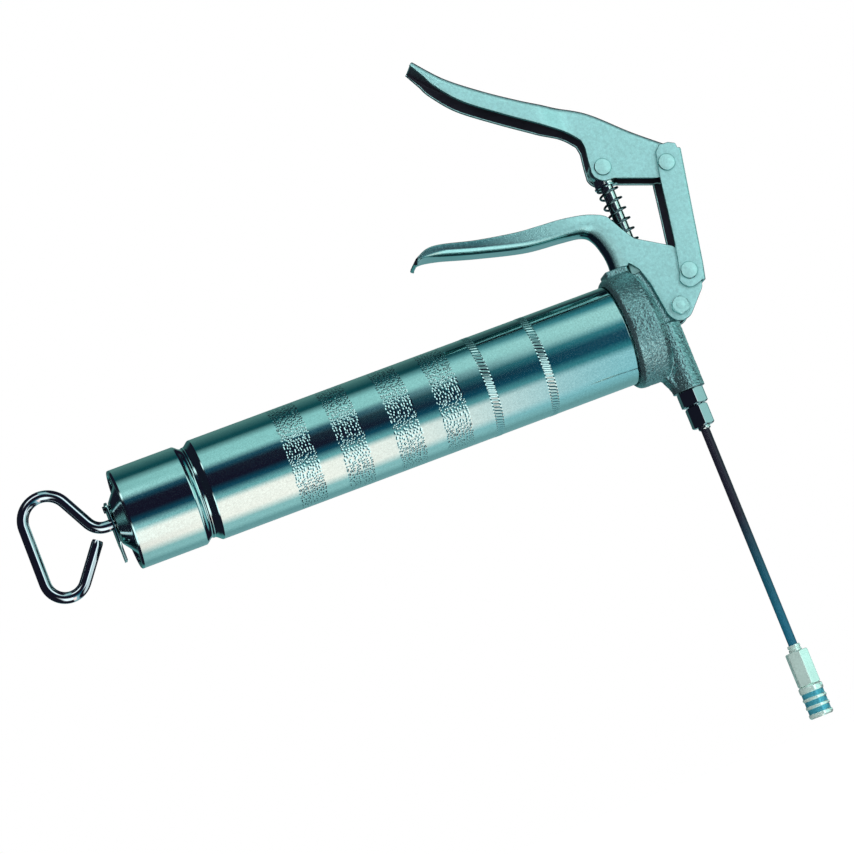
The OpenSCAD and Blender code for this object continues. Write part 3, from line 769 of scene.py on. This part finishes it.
# A square floor inside a round wall with a lid, in metres
REACH, FLOOR_Z, WALL_LOW, WALL_TOP, WALL_SIDES = 9.0, -0.262, -1.262, 8.0, 48
floor_corners = [(x * REACH, y * REACH, FLOOR_Z) for x, y in ((-1, -1), (1, -1), (1, 1), (-1, 1))]
stage_mesh("floor", floor_corners, [(0, 1, 2, 3)], floor_material())
wall_ring = circle((0.0, 0.0), REACH, WALL_SIDES)
wall_pts = [(x, y, z) for z in (WALL_LOW, WALL_TOP) for x, y in wall_ring]
lid = tuple(range(WALL_SIDES, 2 * WALL_SIDES))
backdrop = stage_mesh("backdrop", wall_pts, grid_faces(2, WALL_SIDES) + [lid], backdrop_material())
for attr in ("visible_diffuse", "visible_glossy", "visible_transmission", "visible_shadow"):
    setattr(backdrop, attr, False)

# ---- CAD nodes that are shown as they are ----

WELD_GAP, SOFT_EDGE, SOFT_ANGLE = 2e-6, 0.00018, math.radians(32)
for node, ob in NODES.items():
    ob.data.materials.clear()
    ob.data.materials.append(SLOT_MATERIAL[SLOT_OF[node]])
    weld = ob.modifiers.new("weld", "WELD")
    weld.merge_threshold = WELD_GAP
    soft = ob.modifiers.new("soft_edges", "BEVEL")
    soft.width = SOFT_EDGE
    soft.segments = 2
    soft.limit_method = "ANGLE"
    soft.angle_limit = SOFT_ANGLE
    soft.harden_normals = True
    for p in ob.data.polygons:
        p.use_smooth = True

# ---- barrel ----


BARREL_SEGS, FINE_STEP, COARSE_STEP = 720, 0.25, 3.0
DIMPLE_SHARE = 0.36
HATCH_STROKES, HATCH_LEAN = 84, 0.35


def jittered(n_arc, n_x, seed, amount=0.36):
    """Centres of a jittered grid, as offsets within each cell."""
    rng = np.random.default_rng(seed)
    return 0.5 + (rng.random((n_x, n_arc, 2)) - 0.5) * 2 * amount


def stipple(x0, x1, xs, arcs, turn_len, seed, pitch=1.6, depth=0.13):
    """Depth of rolled-in dimples over a band, at stations xs by arc lengths arcs."""
    n_x = max(2, round((x1 - x0) / pitch))
    n_arc = round(turn_len / pitch)
    px, pa = (x1 - x0) / n_x, turn_len / n_arc
    off = jittered(n_arc, n_x, seed)
    gx, ga = (xs[:, None] - x0) / px, arcs[None, :] / pa
    best = np.full((len(xs), len(arcs)), np.inf)
    ix, ia = np.floor(gx).astype(int), np.floor(ga).astype(int)
    for dx in (-1, 0, 1):
        for da in (-1, 0, 1):
            cx, ca = ix + dx + 0 * ia, ia + da + 0 * ix
            ok = (cx >= 0) & (cx < n_x)
            o = off[np.clip(cx, 0, n_x - 1), ca % n_arc]
            d = np.hypot((gx - cx - o[..., 0]) * px, (ga - ca - o[..., 1]) * pa)
            best = np.where(ok, np.minimum(best, d), best)
    dimple = np.clip(1 - (best / (DIMPLE_SHARE * pitch)) ** 2, 0, None)
    edge = np.clip(np.minimum(xs - x0, x1 - xs) / 0.4, 0, 1)[:, None]
    return -edge * dimple * depth


def bead_dip(x):
    """Depth of the stop bead's groove: steep walls and a nearly flat floor."""
    d = np.clip((BEAD_W / 2 - np.abs(np.asarray(x) - BEAD_X)) / BEAD_FLANK, 0, 1)
    return BEAD_DEPTH * d * d * (3 - 2 * d)


def barrel_outside():
    """The barrel tube: bead, stipple, hatched rings and thread outside, bore and rolled rear lip inside."""
    segs = BARREL_SEGS
    turn_len = 2 * math.pi * BARREL_R
    stations = [BARREL_REAR, BARREL_REAR + 0.25, BARREL_REAR + 0.6]
    stations += list(np.arange(BARREL_REAR + 1.5, BEAD_X - 8, COARSE_STEP))
    stations += list(np.arange(BEAD_X - 7, BEAD_X + 7.01, 0.35))
    detail = [(a - 0.4, b + 0.4) for a, b in STIPPLE_BANDS + HATCH_RINGS]
    x = BEAD_X + 9
    while x < THREAD_X:
        fine = [d for d in detail if d[0] - 0.01 <= x < d[1]]
        if fine:
            low, high = fine[0]
            pitch = (high - low) / round((high - low) / FINE_STEP)
            stations += list(np.arange(low, high + 1e-6, pitch))
            x = high + 0.8
        else:
            stations.append(x)
            nxt = [d[0] for d in detail if d[0] > x + 1e-6]
            x = min([x + COARSE_STEP] + nxt[:1])
    stations += [THREAD_X, THREAD_X + 0.3]
    stations += list(np.arange(THREAD_X + 0.5, BARREL_FRONT, FINE_STEP)) + [BARREL_FRONT]
    xs = np.array(sorted(set(round(float(s), 4) for s in stations)))
    a = np.arange(segs) * 2 * math.pi / segs
    arcs = a * BARREL_R
    r = np.full((len(xs), segs), BARREL_R)
    r[xs < BEAD_X] -= NECK_DROP
    r -= bead_dip(xs)[:, None]
    r[0] -= 0.6
    r[1] -= 0.18
    for k, (x0, x1) in enumerate(STIPPLE_BANDS):
        inside = (xs >= x0) & (xs <= x1)
        r[inside] += stipple(x0, x1, xs[inside], arcs, turn_len, 11 + k)
    for x0, x1 in HATCH_RINGS:
        inside = (xs >= x0) & (xs <= x1)
        lean = (xs[inside] - x0)[:, None] * HATCH_LEAN / BARREL_R
        wave = np.cos((a[None, :] + lean) * HATCH_STROKES)
        edge = np.clip(np.minimum(xs[inside] - x0, x1 - xs[inside]) / 0.5, 0, 1)[:, None]
        r[inside] += edge * np.clip(wave * 0.2, -0.09, 0.11)
    # Rolled thread that screws into the head, two millimetres a turn
    thread = xs > THREAD_X + 0.3
    phase = (xs[thread][:, None] / 2.0 - a[None, :] / (2 * math.pi)) % 1.0
    fade = np.clip((xs[thread] - THREAD_X - 0.3) / 1.2, 0, 1)[:, None]
    r[thread] = BARREL_R - NECK_DROP - fade * 0.5 * np.abs(2 * phase - 1)
    pts = np.stack([xs[:, None] + 0 * r, r * np.sin(a)[None, :], r * np.cos(a)[None, :]], -1).reshape(-1, 3)
    faces = grid_faces(len(xs), segs)
    # Inside wall, from the front edge back to the rolled rear lip
    inner_x = [BARREL_FRONT] + list(np.arange(BEAD_X + 7, BEAD_X - 7.01, -0.7)) + [BARREL_REAR + 1.0]
    rows = []
    for x in inner_x:
        neck = NECK_DROP if x < BEAD_X else 0
        rows.append((BARREL_R - BARREL_WALL - float(bead_dip(x)) - neck, x))
    rows += [(BARREL_R - inward, BARREL_REAR + ahead)
             for inward, ahead in ((2.5, 1.0), (2.6, 0.7), (2.6, 0.3), (2.3, 0.0))]
    inner = np.array([[[x, rr * math.sin(t), rr * math.cos(t)] for t in a] for rr, x in rows]).reshape(-1, 3)
    pts = np.concatenate([pts, inner])
    faces += grid_faces(len(rows), segs, start=len(xs) * segs)
    last, first = (len(xs) - 1) * segs, len(xs) * segs
    end = first + (len(rows) - 1) * segs
    for j in range(segs):
        k = (j + 1) % segs
        faces.append((last + j, last + k, first + k, first + j))
        faces.append((end + j, end + k, k, j))
    return pts, faces


stand_in("barrel_tube", *barrel_outside(), sharp=62)

# ---- springs ----

PUMP = (PUMP_X, 0.0, 0.0)
SEAT, CAP, STROKE = 36.68, 79.18, 14.6
SPRING_REAR, SPRING_FRONT, SPRING_LENGTH, FOLLOWER_STROKE = -167.65, 94.35, 262, 200
LATCH_REAR, LATCH_FRONT, LATCH_KEEP = -175.85, -173.75, 0.8
spring = stand_in("return_spring", *coil(5.45, 0.68, SEAT, CAP, 7.5, closed=0.8, centre=PUMP))
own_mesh(spring)
spring = stand_in("follower_spring", *coil(18.8, 1.2, SPRING_REAR, SPRING_FRONT, 21, steps=32, axis="x"))
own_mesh(spring)
spring = stand_in("latch_spring", *coil(5.6, 0.4, LATCH_REAR, LATCH_FRONT, 1.5, closed=0.0, axis="x"))
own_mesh(spring)
stand_in("check_spring", *coil(2.35, 0.35, -35.95, -32.25, 3.5, steps=28, closed=0.5, centre=PUMP))
stand_in("coupler_spring", *coil(2.7, 0.4, -218.0, -208.0, 5, steps=28, closed=0.7, centre=PUMP))

# ---- pressed steel: lever, link and fixed handle ----

lever_top = smooth_curve([(65.1, 180.1), (77.4, 165.7), (94.6, 151.9), (113.4, 139.1), (127.1, 131),
                          (145.4, 120.6), (165.1, 102.4), (183.2, 87.3)], 10)
lever_low = np.concatenate([
    smooth_curve([(67.8, 169), (70.8, 163.2), (81.6, 150), (99.8, 135.9), (118.7, 122.6), (129.6, 115),
                  (136.3, 107.4)], 8),
    smooth_curve([(137, 103), (135.7, 94), (135.1, 88.2)], 5),
    arc((142.3, 88.7), 7.3, 184, 262, 14),
    [(146, 81.2), (168.6, 73)],
    arc(LEVER_PIN, 7.7, 235, 380, 22),
])


def pressed(node, web, rest, half_w, t, bend, pins, material):
    """A pressed channel with a hole at each pin and painted shade, a near-black material, on its inside
    faces.
    """
    holes = [circle(p, PIN_HOLE) for p in pins]
    verts, faces, inside = pressed_channel(web, rest, half_w, t, bend, holes, edge=RIM_R)
    stand_in(node, verts, faces, material=material, weighted=True, inside=inside, lining=INSIDE_SHADE)


def smoothstep(x, a, b):
    """0 up to a, 1 from b on, and a soft step between them."""
    t = np.clip((np.asarray(x, float) - a) / (b - a), 0, 1)
    return t * t * (3 - 2 * t)


def lever_half(xz):
    """Half the lever's width, narrower at the pump and a little at the tip."""
    return 12.0 - 3.0 * smoothstep(xz[:, 0], 118, 134) - 0.8 * (1 - smoothstep(xz[:, 0], 60, 72))


web = even(lever_top, 1.6)
rest = even(lever_low, 1.3)[::-1]
pressed("trigger_lever", web, rest, lever_half, 2.0, lambda s: 3.0, [PLUNGER_PIN, LEVER_PIN], SATIN)

link_front = resampled([(186.8, 84.6), (181, 56), (173.8, 20), (171.6, 11)], 2.0)
link_rest = np.concatenate([
    arc((163.9, 16.4), 6.6, 300, 190, 12)[1:],
    resampled([(158.8, 19), (160.8, 26.5), (163, 36.3), (165.9, 53), (169, 72), (172.3, 86.6)], 2.0),
    resampled([(175.6, 89.8), (181, 89.6), (184.6, 87.7)], 1.5),
])
pressed("link", link_front, link_rest, lambda p: np.full(len(p), 11.3), 1.8, lambda s: 2.0,
        [BRACKET_PIN, LEVER_PIN], SATIN)

handle_top = np.concatenate([
    smooth_curve([(27.6, 77.2), (34.4, 80), (43, 79.5), (61.5, 75.1), (83.1, 71.6), (96.8, 70.6),
                  (109, 69.9), (122.9, 67.7), (131.2, 64.7)], 8),
    smooth_curve([(134.2, 62.6), (139.3, 53.2), (143.4, 46.4)], 6),
    [(161.8, 35.2)],
])
handle_low = smooth_curve([(26, 72.8), (32, 75.5), (60, 67.9), (86.5, 61.6), (106.6, 59.7),
                           (118.4, 57.7), (123.2, 53.2), (125.8, 45), (126.4, 38.5), (126, 34.4)], 8)
bracket_edge = np.concatenate([
    smooth_curve([(169.4, 25), (170, 14), (168.6, 8)], 5), arc(BOLT_AT, 8, -52, -172, 16),
    [(142.3, 19.5), (139.3, 29.5), (135.4, 34.4)],
])


def handle_half(xz):
    """Half the fixed handle's width, narrower at the bracket."""
    return 10.0 - 1.0 * smoothstep(xz[:, 0], 112, 132)


def handle_bend(s):
    """Bend radius along the fixed handle: tight at the tip, wide at the bracket."""
    return 0.5 + 3.6 * float(smoothstep(s, 0.01, 0.16)) + 4.2 * float(smoothstep(s, 0.62, 0.85))


web = even(handle_low, 1.5)
rest = even(np.concatenate([handle_top, bracket_edge]), 1.4)[::-1]
pressed("fixed_handle", web, rest, handle_half, 2.0, handle_bend, [BOLT_AT, BRACKET_PIN], HANDLE)

# ---- rivets, bolt and nuts of the levers ----


def across_lathe(at, profile, segs=64):
    """Turned shape across the gun: its outline is (radius, y)."""
    pts, faces = lathe(profile, segs, axis="z")
    pts = pts[:, [0, 2, 1]] * np.array([1, 1, -1])
    return pts + np.array([at[0], 0, at[1]]), faces


def rivet_outline(grip, head_r=4.8, head_h=1.6, shank=3.0):
    """Half-outlines of a shank with a low, slightly domed disc at each end."""
    g = grip / 2 + 0.02
    right = [(shank, g), (head_r - 0.2, g), (head_r, g + 0.2), (head_r, g + head_h * 0.55),
             (head_r - 0.35, g + head_h * 0.85), (head_r - 0.9, g + head_h * 0.97), (0.02, g + head_h)]
    return [(r, -y) for r, y in right[::-1]] + right


for node, at, grip in (("plunger_rivet", PLUNGER_PIN, 18.0), ("lever_link_rivet", LEVER_PIN, 22.8),
                       ("link_bracket_rivet", BRACKET_PIN, 22.8)):
    stand_in(node, *across_lathe(at, rivet_outline(grip)), material=RIVET, sharp=30)


def across_hex(at, flats, y0, y1, bore, chamfer=0.5, turn=0.0):
    """A hexagon whose axis lies across the gun."""
    pts, faces = hex_nut(flats, min(y0, y1), max(y0, y1), bore, chamfer, turn=turn)
    pts = pts[:, [0, 2, 1]]
    return pts + np.array([at[0], 0, at[1]]), faces


def joined(*parts):
    """Several closed shapes as one set of points and faces."""
    verts, faces, start = [], [], 0
    for v, f in parts:
        verts.append(v)
        faces += [tuple(i + start for i in q) for q in f]
        start += len(v)
    return np.concatenate(verts), faces


BOLT_R, BODY_HALF = 2.42, 9.0
stand_in("bracket_bolt", *joined(
    across_hex(BOLT_AT, 9.0, -BODY_HALF - 0.02, -BODY_HALF - 3.6, 1.6, 0.75, turn=0.3),
    across_lathe(BOLT_AT, [(0.02, BODY_HALF + 2.9), (1.5, BODY_HALF + 3.3), (1.75, BODY_HALF + 3.2),
                           (1.75, BODY_HALF + 1.0), (BOLT_R, BODY_HALF + 0.5), (BOLT_R, -BODY_HALF - 3.9),
                           (BOLT_R - 0.4, -BODY_HALF - 4.0), (0.02, -BODY_HALF - 4.0)])),
    material=RIVET, sharp=30)
stand_in("bracket_nut", *across_hex(BOLT_AT, 9.0, BODY_HALF + 0.05, BODY_HALF + 3.4, BOLT_R + 0.06, 0.6),
         sharp=30)

# ---- pump fittings, outlet line and coupler ----


def on_pump(node, profile, material=None, segs=72, sharp=32):
    """A turned piece on the pump's axis, its outline (radius, z)."""
    stand_in(node, *lathe(profile, segs, axis="z", centre=PUMP), material=material, sharp=sharp)


def pump_hex(flats, low, high, bore, chamfer=0.55, turn=0.0):
    """A hexagon on the pump's axis."""
    pts, faces = hex_nut(flats, low, high, bore, chamfer, turn=turn)
    return pts + np.array(PUMP), faces


HEX_TURN = math.pi / 6
on_pump("spring_seat_washer", tube_ring(6.6, 3.2, 35.55, 36.65))
on_pump("spring_cap_washer", tube_ring(6.6, 3.0, 79.2, 80.3))
stand_in("gland_nut", *joined(pump_hex(13.0, 28.02, 35.5, 3.2, 0.7, HEX_TURN),
                              lathe(tube_ring(5.4, 3.2, 22.0, 28.4), 64, "z", PUMP)),
         material=RIVET, sharp=30)
stand_in("outlet_adapter", *joined(pump_hex(14.0, -50.2, -41.6, 1.4, 0.5, HEX_TURN),
                                   lathe(tube_ring(5.85, 1.4, -50.0, -36.1), 64, "z", PUMP),
                                   lathe(tube_ring(4.0, 1.4, -55.2, -49.9), 64, "z", PUMP)),
         material=CHROME, sharp=30)
stand_in("pipe_nut", *pump_hex(11.8, -62.6, -50.9, 2.55, 0.75, HEX_TURN), material=CHROME, sharp=30)
pipe_ferrule = [(2.55, -64.6), (3.0, -64.6), (3.45, -64.0), (3.45, -62.65), (2.55, -62.65)]
on_pump("pipe_ferrule", rounded(pipe_ferrule, 0.2), material=BRIGHT)
on_pump("extension_pipe", tube_ring(2.5, 1.4, -197.0, -55.4, 0.3), material=TUBE, segs=40)
coupler_ferrule = [(2.55, -194.2), (3.6, -194.2), (3.6, -192.9), (3.15, -192.6), (3.15, -192.2),
                   (3.6, -191.9), (3.5, -190.5), (2.55, -190.4)]
on_pump("coupler_ferrule", rounded(coupler_ferrule, 0.15), material=NICKEL)
stand_in("coupler_body", *joined(pump_hex(11.6, -213.5, -194.25, 2.55, 0.6, HEX_TURN),
                                 lathe(tube_ring(5.0, 3.4, -219.4, -213.4), 64, "z", PUMP)),
         material=NICKEL, sharp=30)
SLEEVE_R, SLEEVE_LOW, SLEEVE_TOP, SLEEVE_SEGS = 6.75, -231.5, -213.55, 96
RIB_PITCH, RIB_RISE = 4.4, 4.0
GROOVE_R = SLEEVE_R - 0.5
sleeve = [(5.05, SLEEVE_TOP - 1.0), (5.05, SLEEVE_TOP), (5.9, SLEEVE_TOP), (SLEEVE_R, SLEEVE_TOP - 0.8)]
for i in (2, 1, 0):
    z = SLEEVE_LOW + RIB_RISE + RIB_PITCH * i
    sleeve += [(SLEEVE_R, z + 1.65), (GROOVE_R, z + 1.3), (GROOVE_R, z - 1.3), (SLEEVE_R, z - 1.65)]
sleeve += [(SLEEVE_R, SLEEVE_LOW + 0.8), (SLEEVE_R - 0.8, SLEEVE_LOW), (5.3, SLEEVE_LOW),
           (5.3, SLEEVE_TOP - 1.0)]
sleeve = rounded(sleeve, 0.12, 2)
verts, faces = lathe(sleeve, SLEEVE_SEGS, "z", PUMP)
# The grooves between the ribs are painted dark blue-teal, as painted shade in the recesses
in_groove = [GROOVE_R - 0.05 < max(a[0], b[0]) < GROOVE_R + 0.3
             for a, b in zip(sleeve, sleeve[1:] + sleeve[:1])]
grooves = [SLEEVE_SEGS * i + j for i, blued in enumerate(in_groove) if blued for j in range(SLEEVE_SEGS)]
stand_in("coupler_sleeve", verts, faces, material=NICKEL, sharp=32, inside=grooves, lining=GROOVE_SHADE)

# ---- rear end ----

rear_cap = [(7.2, -174.9), (11.5, -174.9), (18, -169.9), (20, -168.9), (26.55, -168.9), (26.55, -167.7),
            (19.5, -167.7), (17.4, -168.6), (10.9, -173.7), (7.2, -173.7)]
stand_in("rear_cap", *lathe(rounded(rear_cap, 0.45), 120, "x"), sharp=40)

ROD_R, STUD_R, SHOULDER_X, ROD_FRONT = 3.2, 2.5, 94.0, 110.0
LOOP_TOP_R, LOOP_TOP_Z, LOOP_LOW_R, LOOP_LOW_Z, LOOP_BAR_X = 13.0, 14.2, 11.1, -17.4, -220.9
BEND_AT, BEND_R, LEG_ANGLE, LEG_LENGTH = -179.7, 10.0, 53.0, 23.4


def pull_rod_path():
    """Centreline of the rod and its bent loop, in the middle plane, from the front end back."""
    top = np.array([LOOP_BAR_X + LOOP_TOP_R, LOOP_TOP_Z])
    low = np.array([LOOP_BAR_X + LOOP_LOW_R, LOOP_LOW_Z])
    bend = np.array([BEND_AT, BEND_R])
    apart = top - bend
    turned = 180 - math.degrees(math.atan2(apart[1], apart[0]))
    turned += math.degrees(math.asin((BEND_R + LOOP_TOP_R) / np.linalg.norm(apart)))
    leg = math.radians(LEG_ANGLE)
    leg_start = low + LOOP_LOW_R * np.array([math.sin(leg), -math.cos(leg)])
    leg_end = leg_start + LEG_LENGTH * np.array([math.cos(leg), math.sin(leg)])
    straight = [(x, 0.0) for x in np.arange(ROD_FRONT, BEND_AT, -6.0)]
    line = np.concatenate([straight, arc(bend, BEND_R, 270, 270 - turned, 14),
                           arc(top, LOOP_TOP_R, 90 - turned, 180, 28),
                           arc(low, LOOP_LOW_R, 180, 270 + LEG_ANGLE, 28), [leg_end]])
    return even(line, 1.4)


line = pull_rod_path()
radii = np.where(line[:, 0] > SHOULDER_X, STUD_R, ROD_R - 0.02)
radii[-1] -= 0.35
path = np.stack([line[:, 0], 0 * line[:, 0], line[:, 1]], -1)
stand_in("pull_rod", *sweep(path, radii, sides=36), material=ROD, sharp=50)

# ---- cast head ----


# The casting stays smooth in the barrel's socket, at the pump's core and ends, and at the handle's seat
SOCKET_R, SOCKET_END, TOWER_CORE_R, TOWER_TOP, TOWER_LOW = 27.7, 131.6, 6.5, 28.0, -41.5
EAR_HALF, HANDLE_REACH = 6.9, -10.0
GRAIN_SIZE, GRAIN_HEIGHT = 1.15, 0.26
COLLAR_REAR, COLLAR_R, SHOULDER_R = 117.0, 31.5, 3.5
VOXEL, QUICK_VOXEL = 0.00048, 0.0006


def cast_skin():
    """The head's casting with a softened, sand-cast skin over its outside and its bores left smooth."""
    ob = bpy.data.objects.new("cast_work", NODES["head_casting"].data.copy())
    bpy.context.scene.collection.objects.link(ob)
    weld = ob.modifiers.new("weld", "WELD")
    weld.merge_threshold = WELD_GAP
    remesh = ob.modifiers.new("remesh", "REMESH")
    remesh.mode = "VOXEL"
    remesh.voxel_size = VOXEL
    smooth = ob.modifiers.new("smooth", "CORRECTIVE_SMOOTH")
    smooth.iterations = 4
    smooth.use_only_smooth = True
    deps = bpy.context.evaluated_depsgraph_get()
    made = ob.evaluated_get(deps).to_mesh()
    n = len(made.vertices)
    co = np.empty(n * 3)
    made.vertices.foreach_get("co", co)
    co = co.reshape(-1, 3) / MM
    normal = np.empty(n * 3)
    made.vertices.foreach_get("normal", normal)
    normal = normal.reshape(-1, 3)
    faces = [tuple(p.vertices) for p in made.polygons]
    ob.evaluated_get(deps).to_mesh_clear()
    bpy.data.objects.remove(ob)
    radius = np.hypot(co[:, 1], co[:, 2])
    from_pump = np.hypot(co[:, 0] - PUMP_X, co[:, 1])
    inside_socket = (radius < SOCKET_R + 1.2) & (co[:, 0] < SOCKET_END)
    inside_pump = from_pump < TOWER_CORE_R
    flat_ends = (co[:, 2] > TOWER_TOP - 0.6) | (co[:, 2] < TOWER_LOW + 0.6)
    at_handle = (np.abs(np.abs(co[:, 1]) - EAR_HALF) < 0.4) & (co[:, 2] > HANDLE_REACH)
    still = inside_socket | inside_pump | flat_ends | at_handle
    coarse = np.array([noise.noise(Vector(p) / GRAIN_SIZE) for p in co])
    fine = np.array([noise.noise(Vector(p) / (0.45 * GRAIN_SIZE)) for p in co])
    rough = coarse + 0.6 * fine
    lift = np.where(still, 0.0, GRAIN_HEIGHT * (np.clip(rough, -0.9, 0.6) - 0.45))
    co = co + normal * lift[:, None]
    # The rear edge of the collar rolls over onto the barrel
    radius = np.hypot(co[:, 1], co[:, 2])
    back = np.clip(COLLAR_REAR + SHOULDER_R - co[:, 0], 0, SHOULDER_R)
    limit = COLLAR_R - SHOULDER_R + np.sqrt(SHOULDER_R**2 - back**2)
    over = (radius > limit) & (radius > BARREL_R + 0.3) & (back > 0)
    scale = np.where(over, np.maximum(limit, BARREL_R + 0.3) / radius, 1.0)
    co[:, 1:] *= scale[:, None]
    return co, faces


stand_in("head_casting", *cast_skin(), material=CAST, sharp=60)
